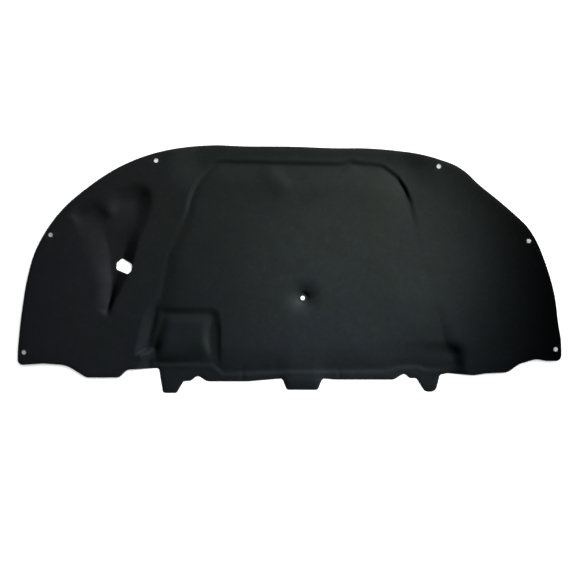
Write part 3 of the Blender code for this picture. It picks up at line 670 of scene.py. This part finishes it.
class Grid:
    """Heights on a square grid over the pad, read in between by cubic curves."""

    def __init__(self, low, high, step):
        self.low, self.step = np.array(low), step
        count = np.ceil((np.array(high) - self.low) / step).astype(int) + 1
        across, forward = np.meshgrid(*[np.arange(n) for n in count], indexing="ij")
        self.shape = across.shape
        self.points = self.low + np.stack([across.ravel(), forward.ravel()], axis=1) * step
        self.height = np.zeros(self.shape)

    def blur(self, radius):
        """Averages the heights along X and Y with the weights of a bell curve."""
        reach = int(np.ceil(3 * radius / self.step))
        bell = np.exp(-0.5 * (np.arange(-reach, reach + 1) * self.step / radius) ** 2)
        bell /= bell.sum()
        for axis in (0, 1):
            pad = [(reach, reach) if i == axis else (0, 0) for i in (0, 1)]
            wide = np.pad(self.height, pad, mode="edge")
            count = self.shape[axis]
            shifted = [np.take(wide, np.arange(i, i + count), axis) for i in range(len(bell))]
            self.height = np.tensordot(bell, shifted, axes=1)

    def at(self, points):
        """The height at each point, by Catmull-Rom weights of the 4 x 4 heights round it."""
        place = (points[:, :2] - self.low) / self.step
        cell = np.clip(np.floor(place).astype(int), 1, np.array(self.shape) - 3)
        t = place - cell
        weights = 0.5 * np.stack([
            -t + 2 * t**2 - t**3, 2 - 5 * t**2 + 3 * t**3, t + 4 * t**2 - 3 * t**3, t**3 - t**2,
        ])
        total = np.zeros(len(points))
        for i in range(4):
            for j in range(4):
                value = self.height[cell[:, 0] + i - 1, cell[:, 1] + j - 1]
                total += weights[i, :, 0] * weights[j, :, 1] * value
        return total


def waviness(points, spacing, seed):
    """Soft random heights from about -1 to 1: random values on a coarse grid, read smoothly."""
    low, high = points.min(axis=0) - 2 * spacing, points.max(axis=0) + 2 * spacing
    coarse = Grid(low, high, spacing)
    coarse.height = np.random.default_rng(seed).uniform(-1, 1, coarse.shape)
    return coarse.at(points)


def felt_heights():
    """The engine side's heights on a fine grid, with folds, a slight waviness and seats.

    The felt can't bend sharply, so the heights are blurred by the bend radius, and more
    in the pocket's lobes: there they ease over, towards the lobes' centre, to heights
    that are blurred once more.
    """
    margin = 4 * GRID_STEP
    low = (-LEFT_REACH - margin, -LEFT_TAB_DEPTH - margin)
    grid = Grid(low, (RIGHT_REACH + margin, FRONT_REACH + margin), GRID_STEP)
    points = grid.points
    grid.height = (relief(points) + folds(points)).reshape(grid.shape)
    grid.blur(BEND_RADIUS)
    height = grid.height.ravel()
    grid.blur(LOBE_BEND_RADIUS)
    away = np.linalg.norm(points - LOBE_CENTRE, axis=1)
    soft = eased(2 * (LOBE_REACH - away) / LOBE_REACH)
    height = height + (grid.height.ravel() - height) * soft
    grid.height = height.reshape(grid.shape)
    height = height + sum(rise * waviness(points, spacing, seed) for rise, spacing, seed in WAVES)
    seat = CLIP_SEAT_DIAMETER / 2
    for centre in clip_centres():
        level = grid.at(centre[None])[0]
        away = np.linalg.norm(points - centre, axis=1)
        blend = eased((away - seat) / (seat / 2))
        height = level + (height - level) * blend
    grid.height = height.reshape(grid.shape)
    return grid


def inner_rows(loop, offsets, inward):
    """Rows of points beside a closed line, at each offset to its inner or outer side."""
    ahead = np.roll(loop, -1, axis=0) - np.roll(loop, 1, axis=0)
    side = np.stack([ahead[:, 1], -ahead[:, 0]], 1)
    side /= np.linalg.norm(side, axis=1)[:, None]
    probe = loop + side * 1e-5
    side *= np.where(inside(probe, loop) == inward, 1.0, -1.0)[:, None]
    rows = []
    for offset in offsets:
        row = loop + side * offset
        rows.append(row[nearest(row, loop) > 0.9 * offset])
    return rows


def clear_of(points, kept, gap):
    """Those of the points that lie at least the gap away from every kept point."""
    def apart(some):
        offset = some[:, None] - kept[None]
        return (offset * offset).sum(2).min(axis=1) >= gap * gap

    return points[in_parts(apart, points, 3000)]


def felt_plan(edge, holes, step):
    """Plan of one face of the felt: its points and its triangles.

    The points of the edge and of the holes come first, then rows beside them for the
    rounded cut, and then a grid of even triangles that keeps clear of these.
    """
    loops = [edge] + holes
    rows = inner_rows(edge, EDGE_ROWS, True)
    for hole in holes:
        rows += inner_rows(hole, HOLE_ROWS, False)
    kept = np.vstack(loops + rows)
    low, high = edge.min(axis=0), edge.max(axis=0)
    lines = np.arange(low[1], high[1], step * sin(radians(60)))
    across = np.arange(low[0], high[0], step)
    shift = np.arange(len(lines)) % 2 * step / 2
    x = across[None] + shift[:, None]
    fill = np.stack([x, np.broadcast_to(lines[:, None], x.shape)], axis=2).reshape(-1, 2)
    fill = fill[inside(fill, edge)]
    near = nearest(fill, edge) < 3 * step
    fill = np.vstack([fill[~near], clear_of(fill[near], kept, step * 0.55)])
    for hole in holes:
        middle = hole.mean(axis=0)
        reach = np.linalg.norm(hole - middle, axis=1).max() + 3 * step
        near = np.linalg.norm(fill - middle, axis=1) < reach
        fill = np.vstack([fill[~near], clear_of(fill[near], kept, step * 0.55)])
        fill = fill[~inside(fill, hole)]
    points = np.vstack([kept, fill])
    sides = []
    first = 0
    for loop in loops:
        ring = np.arange(first, first + len(loop))
        sides += np.stack([ring, np.roll(ring, -1)], axis=1).tolist()
        first += len(loop)
    flat = [Vector(point) for point in points.tolist()]
    _, _, faces, origins, _, _ = delaunay_2d_cdt(flat, sides, [], 0, 1e-7)
    source = np.array([origin[0] for origin in origins])
    triangles = source[np.array(faces)]
    middles = points[triangles].mean(axis=1)
    solid = inside(middles, edge)
    for hole in holes:
        solid &= ~inside(middles, hole)
    triangles = triangles[solid]
    a, b, c = points[triangles].transpose(1, 0, 2)
    turn = (b - a)[:, 0] * (c - a)[:, 1] - (b - a)[:, 1] * (c - a)[:, 0]
    triangles[turn < 0] = triangles[turn < 0][:, ::-1]
    return points, triangles


def cut_profile(points, edge, holes):
    """How much each face is pressed in near the cuts, and how close to a cut it is.

    The felt thins towards the outer edge over the edge run, and each cut edge is
    rounded as a quarter circle: radius less root(radius squared less (radius less
    distance) squared).
    """
    to_edge = nearest(points, edge)
    to_hole = np.full(len(points), 1.0)
    for hole in holes:
        middle = hole.mean(axis=0)
        near = np.linalg.norm(points - middle, axis=1) < HOLE_SURROUND
        to_hole[near] = np.minimum(to_hole[near], nearest(points[near], hole))
    press = 1 - eased(to_edge / CUT_EDGE_RUN)
    pinch = press * (FELT_THICKNESS - CUT_EDGE_THICKNESS) / 2
    for distance, radius in ((to_edge, CUT_EDGE_ROUND), (to_hole, HOLE_ROUND)):
        left = np.clip(radius - distance, 0.0, radius)
        pinch += radius - np.sqrt(radius**2 - left**2)
    closeness = np.exp(-np.minimum(to_edge, to_hole) / CUT_FADE)
    return pinch, closeness


def face_heights(heights, plan, pinch, upper):
    """Heights of the engine side, or of the underside a felt's thickness square below it."""
    height = heights.at(plan)
    if upper:
        return height + FELT_THICKNESS - pinch
    slope = [
        (heights.at(plan + shift) - heights.at(plan - shift)) / (2 * GRID_STEP)
        for shift in np.eye(2) * GRID_STEP
    ]
    steep = np.sqrt(1 + slope[0] ** 2 + slope[1] ** 2)
    return np.maximum(height + FELT_THICKNESS - FELT_THICKNESS * steep, 0.0) + pinch


def cut_walls(edge, holes, below):
    """Triangles that join the loops of the engine side to those of the underside.

    The loops come first in both faces' points, and the underside's points start after
    the number of points that is given as below.
    """
    faces = []
    start = 0
    for loop in [edge] + holes:
        ring = np.arange(start, start + len(loop))
        ahead = np.roll(ring, -1)
        x, y = loop.T
        clockwise = (x * np.roll(y, -1) - np.roll(x, -1) * y).sum() < 0
        outwards = clockwise == (start == 0)
        here, there = (ring, ahead) if outwards else (ahead, ring)
        faces.append(np.stack([here, there, there + below], axis=1))
        faces.append(np.stack([here, there + below, here + below], axis=1))
        start += len(loop)
    return faces


def felt_pad(heights):
    """The pad's mesh: the engine side, the underside and the cuts between them.

    The attribute cut says how close each point is to a cut, from 0 to 1.
    """
    edge = outline()
    holes = [circle(centre, CLIP_HOLE_DIAMETER / 2, 40) for centre in clip_centres()]
    holes.append(access_hole())
    top_plan, top_faces = felt_plan(edge, holes, TOP_STEP)
    low_plan, low_faces = felt_plan(edge, holes, UNDERSIDE_STEP)
    corners = []
    closeness = []
    for plan, upper in ((top_plan, True), (low_plan, False)):
        pinch, close = cut_profile(plan, edge, holes)
        corners.append(np.column_stack([plan, face_heights(heights, plan, pinch, upper)]))
        closeness.append(close)
    below = len(top_plan)
    faces = [top_faces, low_faces[:, ::-1] + below] + cut_walls(edge, holes, below)
    points = np.vstack(corners)
    low, high = points.min(axis=0), points.max(axis=0)
    points -= [(low[0] + high[0]) / 2, (low[1] + high[1]) / 2, low[2]]
    mesh = mesh_of("moulded_felt", points, np.vstack(faces))
    layer = mesh.attributes.new("cut", "FLOAT", "POINT")
    layer.data.foreach_set("value", np.concatenate(closeness).astype(np.float32))
    piece = bpy.data.objects.new("moulded_felt", mesh)
    bpy.context.scene.collection.objects.link(piece)
    return piece


def mesh_of(name, points, triangles):
    """A mesh from whole arrays of points and triangles, shaded smooth."""
    mesh = bpy.data.meshes.new(name)
    mesh.vertices.add(len(points))
    mesh.vertices.foreach_set("co", points.astype(np.float32).ravel())
    mesh.loops.add(3 * len(triangles))
    mesh.loops.foreach_set("vertex_index", triangles.astype(np.int32).ravel())
    mesh.polygons.add(len(triangles))
    mesh.polygons.foreach_set("loop_start", np.arange(0, 3 * len(triangles), 3, dtype=np.int32))
    mesh.update(calc_edges=True)
    mesh.validate()
    mesh.shade_smooth()
    return mesh


def add(tree, kind, inputs=None, **settings):
    """A node with its settings, and with its inputs set to values or joined to sockets."""
    node = tree.nodes.new(kind)
    for name, value in settings.items():
        setattr(node, name, value)
    for name, value in (inputs or {}).items():
        if isinstance(value, bpy.types.NodeSocket):
            tree.links.new(value, node.inputs[name])
        else:
            node.inputs[name].default_value = value
    return node


def calc(tree, operation, first, second=0.0, third=0.0, clamp=False):
    """Result of one sum on numbers or sockets."""
    inputs = {0: first, 1: second, 2: third}
    return add(tree, "ShaderNodeMath", inputs, operation=operation, use_clamp=clamp).outputs[0]


def shader_group(name, inputs, outputs):
    """A shader node group with number inputs, after a vector, and with number outputs."""
    tree = bpy.data.node_groups.new(name, "ShaderNodeTree")
    tree.interface.new_socket("Vector", in_out="INPUT", socket_type="NodeSocketVector")
    for socket_name, value in inputs:
        socket = tree.interface.new_socket(
            socket_name, in_out="INPUT", socket_type="NodeSocketFloat"
        )
        socket.default_value = value
    for socket_name in outputs:
        tree.interface.new_socket(socket_name, in_out="OUTPUT", socket_type="NodeSocketFloat")
    return tree, tree.nodes.new("NodeGroupInput").outputs, tree.nodes.new("NodeGroupOutput").inputs


def fibres_group():
    """Loose fibres lying in all directions in the sheet.

    Each of four layers is noise drawn out along one direction and bent a little by
    softer noise. Its value is 1 along the lines where the noise passes its middle, so
    the lines look like fibres. Height is the highest layer at each point, and Strands
    marks the few fibres that lie on top.
    """
    tree, given, result = shader_group(
        "felt_fibres", [("Width", 0.0004), ("Length", 9.0)], ["Height", "Strands"]
    )
    scaled = add(
        tree, "ShaderNodeVectorMath",
        {0: given["Vector"], "Scale": calc(tree, "DIVIDE", 1.0, given["Width"])},
        operation="SCALE",
    ).outputs[0]
    stretch = add(
        tree, "ShaderNodeCombineXYZ",
        {"X": calc(tree, "DIVIDE", 1.0, given["Length"]), "Y": 1.0, "Z": 1.0},
    ).outputs[0]
    highest = None
    for number, angle in enumerate((0.15, 0.95, 1.75, 2.5)):
        turned = add(
            tree, "ShaderNodeVectorRotate", {"Vector": scaled, "Angle": angle},
            rotation_type="Z_AXIS",
        ).outputs[0]
        drawn = add(
            tree, "ShaderNodeVectorMath", {0: turned, 1: stretch}, operation="MULTIPLY"
        ).outputs[0]
        moved = add(
            tree, "ShaderNodeVectorMath", {0: drawn, 1: (7.3 * number, 3.1, 11.7)},
            operation="ADD",
        ).outputs[0]
        noise = add(
            tree, "ShaderNodeTexNoise",
            {"Vector": moved, "Scale": 0.8, "Detail": 1.5, "Distortion": 0.7},
        ).outputs[0]
        away = calc(tree, "ABSOLUTE", calc(tree, "SUBTRACT", noise, 0.5))
        line = calc(tree, "SUBTRACT", 1.0, calc(tree, "MULTIPLY", away, 9.0), clamp=True)
        highest = line if highest is None else calc(tree, "MAXIMUM", highest, line)
        top = calc(tree, "POWER", line, 5.0)
    pick = add(
        tree, "ShaderNodeTexNoise", {"Vector": scaled, "Scale": 0.035, "Detail": 2.0}
    ).outputs[0]
    chosen = calc(tree, "MULTIPLY_ADD", pick, 6.0, -3.0, clamp=True)
    tree.links.new(highest, result["Height"])
    tree.links.new(calc(tree, "MULTIPLY", top, chosen), result["Strands"])
    return tree


def clouding_group():
    """Patches where the felt is a little denser or its nap lies another way, from 0 to 1."""
    tree, given, result = shader_group("felt_clouding", [("Size", 0.05)], ["Patches"])
    scale = calc(tree, "DIVIDE", 1.0, given["Size"])
    noise = add(
        tree, "ShaderNodeTexNoise",
        {"Vector": given["Vector"], "Scale": scale, "Detail": 4.0, "Roughness": 0.6},
    ).outputs[0]
    tree.links.new(calc(tree, "MULTIPLY_ADD", noise, 2.0, -0.5, clamp=True), result["Patches"])
    return tree


def needling_group():
    """Tiny pits that the felting needles leave: a spot in each cell of a scattered grid."""
    tree, given, result = shader_group("felt_needling", [("Spacing", 0.0026)], ["Pits"])
    scale = calc(tree, "DIVIDE", 1.0, given["Spacing"])
    cells = add(
        tree, "ShaderNodeTexVoronoi",
        {"Vector": given["Vector"], "Scale": scale, "Randomness": 0.75},
    ).outputs["Distance"]
    pit = calc(tree, "SUBTRACT", 1.0, calc(tree, "MULTIPLY", cells, 3.2), clamp=True)
    tree.links.new(pit, result["Pits"])
    return tree


def lint_group():
    """Specks of pale lint: a dot in the few cells of a scattered grid that a draw picks."""
    tree, given, result = shader_group(
        "stray_lint", [("Spacing", 0.030), ("Radius", 0.0006), ("Share", 0.06)], ["Specks"]
    )
    scale = calc(tree, "DIVIDE", 1.0, given["Spacing"])
    cells = add(tree, "ShaderNodeTexVoronoi", {"Vector": given["Vector"], "Scale": scale})
    distance = calc(tree, "MULTIPLY", cells.outputs["Distance"], given["Spacing"])
    draws = add(tree, "ShaderNodeSeparateColor", {"Color": cells.outputs["Color"]}).outputs
    dot = calc(tree, "LESS_THAN", distance, calc(tree, "MULTIPLY", draws[0], given["Radius"]))
    picked = calc(tree, "LESS_THAN", draws[1], given["Share"])
    tree.links.new(calc(tree, "MULTIPLY", dot, picked), result["Specks"])
    return tree


def group_outputs(tree, group, vector, **values):
    """Places a shader group in a material with its own values, and gives its outputs."""
    node = tree.nodes.new("ShaderNodeGroup")
    node.node_tree = group
    tree.links.new(vector, node.inputs["Vector"])
    for name, value in values.items():
        node.inputs[name].default_value = value
    return node.outputs


def mixed(tree, share, first, second):
    """Colour between two colours or sockets, by a share that is a socket."""
    inputs = {0: share, 6: first, 7: second}
    return add(tree, "ShaderNodeMix", inputs, data_type="RGBA").outputs[2]


def felt_material():
    """Matt black needled felt: fibres, needle pits with painted shade in them, clouding, stray lint
    and paler cuts.
    """
    material = bpy.data.materials.new("black_felt_needled")
    material.use_nodes = True
    tree = material.node_tree
    shader = tree.nodes["Principled BSDF"]
    place = add(tree, "ShaderNodeTexCoord").outputs["Object"]
    fibres = fibres_group()
    fine = group_outputs(tree, fibres, place, Width=0.00035, Length=10.0)
    coarse = group_outputs(tree, fibres, place, Width=0.0011, Length=7.0)
    clouding = clouding_group()
    patches = group_outputs(tree, clouding, place, Size=0.045)["Patches"]
    grain = group_outputs(tree, clouding, place, Size=0.004)["Patches"]
    pits = group_outputs(tree, needling_group(), place, Spacing=0.0026)["Pits"]
    lint = group_outputs(tree, lint_group(), place)["Specks"]
    cut = add(tree, "ShaderNodeAttribute", attribute_name="cut").outputs["Fac"]

    # Black with a green tinge in front, teal at the rear and violet on the left
    axes = add(tree, "ShaderNodeSeparateXYZ", {"Vector": place}).outputs
    spread = calc(tree, "MULTIPLY_ADD", patches, 0.9, -0.45)
    rearward = calc(tree, "MULTIPLY_ADD", axes[1], -2.6, 0.35)
    rearward = calc(tree, "ADD", rearward, spread, clamp=True)
    colour = mixed(tree, rearward, GREEN_BLACK, TEAL_BLACK)
    leftward = calc(tree, "MULTIPLY_ADD", axes[0], -2.5, -0.45)
    leftward = calc(tree, "ADD", leftward, spread, clamp=True)
    colour = mixed(tree, leftward, colour, VIOLET_BLACK)
    colour = mixed(tree, calc(tree, "MULTIPLY", grain, 0.16), colour, DEEP_BLACK)
    # Painted shade: the needle pits are darkened towards deep black, on top of their dent in the
    # bump
    colour = mixed(tree, calc(tree, "MULTIPLY", pits, 0.14), colour, DEEP_BLACK)
    strands = calc(tree, "MAXIMUM", fine["Strands"], calc(tree, "MULTIPLY", coarse["Strands"], 0.35))
    colour = mixed(tree, calc(tree, "MULTIPLY", strands, 0.25), colour, PALE_FIBRE)
    colour = mixed(tree, calc(tree, "MULTIPLY", cut, 0.55), colour, CUT_FIBRE)
    colour = mixed(tree, calc(tree, "MULTIPLY", lint, 0.8), colour, LINT)
    tree.links.new(colour, shader.inputs["Base Color"])

    height = calc(tree, "MULTIPLY_ADD", coarse["Height"], 0.45, fine["Height"])
    height = calc(tree, "MULTIPLY_ADD", grain, 0.9, height)
    height = calc(tree, "MULTIPLY_ADD", pits, -1.2, height)
    bump = add(
        tree, "ShaderNodeBump", {"Height": height, "Strength": 0.55, "Distance": 0.00022}
    )
    tree.links.new(bump.outputs["Normal"], shader.inputs["Normal"])
    rough = calc(tree, "MULTIPLY_ADD", patches, 0.05, 0.50)
    tree.links.new(rough, shader.inputs["Roughness"])
    shader.inputs["Specular IOR Level"].default_value = 0.05
    shader.inputs["Sheen Weight"].default_value = 0.03
    shader.inputs["Sheen Roughness"].default_value = 0.55
    shader.inputs["Sheen Tint"].default_value = (0.92, 1.0, 0.98, 1.0)
    return material


def plain_floor():
    """Pale floor just under the pad, far wider than the view."""
    across = FLOOR_HALF_WIDTH * np.array([-1, 1, 1, -1])
    forward = FLOOR_HALF_WIDTH * np.array([-1, -1, 1, 1])
    corners = np.column_stack([across, forward, np.full(4, -FLOOR_DROP)])
    mesh = mesh_of("floor", corners, np.array([(0, 1, 2), (0, 2, 3)]))
    floor = bpy.data.objects.new("floor", mesh)
    bpy.context.scene.collection.objects.link(floor)
    material = bpy.data.materials.new("pale_floor")
    material.use_nodes = True
    shader = material.node_tree.nodes["Principled BSDF"]
    shader.inputs["Base Color"].default_value = (0.90, 0.90, 0.90, 1.0)
    shader.inputs["Roughness"].default_value = 0.9
    shader.inputs["Specular IOR Level"].default_value = 0.0
    mesh.materials.append(material)
    return floor


def lamp_at(name, kind, place, aim, power, lit):
    """A lamp at a place, turned to its aim, which lights only one object."""
    lamp = bpy.data.lights.new(name, kind)
    lamp.energy = power
    thing = bpy.data.objects.new(name, lamp)
    bpy.context.scene.collection.objects.link(thing)
    thing.location = place
    way = Vector(aim) - Vector(place)
    thing.rotation_euler = way.to_track_quat("-Z", "Y").to_euler()
    receivers = bpy.data.collections.new(name + "_lights")
    receivers.objects.link(lit)
    thing.light_linking.receiver_collection = receivers
    return thing


def soft_spot(name, aim, half_angle, stretch, power, lit):
    """A lamp with a soft-edged cone, stretched sideways, which lights only one object."""
    thing = lamp_at(name, "SPOT", LAMP_PLACE, aim, power, lit)
    thing.data.spot_size = 2 * half_angle
    thing.data.spot_blend = 1.0
    thing.data.shadow_soft_size = LAMP_RADIUS
    thing.scale = (stretch, 1.0, 1.0)


def studio(pad, floor):
    """Plain soft studio: two soft cones from the front right on the pad, and a floor lamp.

    The room's own light is weak, and only the camera sees it pale.
    """
    world = bpy.data.worlds.new("studio")
    bpy.context.scene.world = world
    world.use_nodes = True
    tree = world.node_tree
    background = tree.nodes["Background"]
    seen = add(tree, "ShaderNodeLightPath").outputs["Is Camera Ray"]
    strength = calc(tree, "MULTIPLY_ADD", seen, ROOM_SEEN - ROOM_LIGHT, ROOM_LIGHT)
    tree.links.new(strength, background.inputs["Strength"])
    background.inputs["Color"].default_value = (1.0, 1.0, 1.0, 1.0)
    soft_spot("key", KEY_AIM, half_angle=0.060, stretch=2.054, power=490, lit=pad)
    soft_spot("wide", WIDE_AIM, half_angle=0.115, stretch=2.379, power=725, lit=pad)
    over = lamp_at("over_floor", "AREA", FLOOR_LAMP_PLACE, (0, 0, 0), power=330, lit=floor)
    over.data.shape = "SQUARE"
    over.data.size = FLOOR_LAMP_SIZE
    bpy.context.scene.view_settings.view_transform = "Standard"


def camera_above():
    """Camera straight above, with a long lens, as the photograph was taken."""
    camera = bpy.data.cameras.new("camera")
    camera.lens = 120
    camera.sensor_width = 36
    camera.clip_end = 100
    thing = bpy.data.objects.new("camera", camera)
    bpy.context.scene.collection.objects.link(thing)
    distance = VIEW_WIDTH * camera.lens / camera.sensor_width
    thing.location = Vector(VIEW_CENTRE) + Vector((0, 0, distance))
    bpy.context.scene.camera = thing


pad = felt_pad(felt_heights())
pad.data.materials.append(felt_material())
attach(pad, "root")
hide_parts("insulation_pad")

studio(pad, plain_floor())
camera_above()
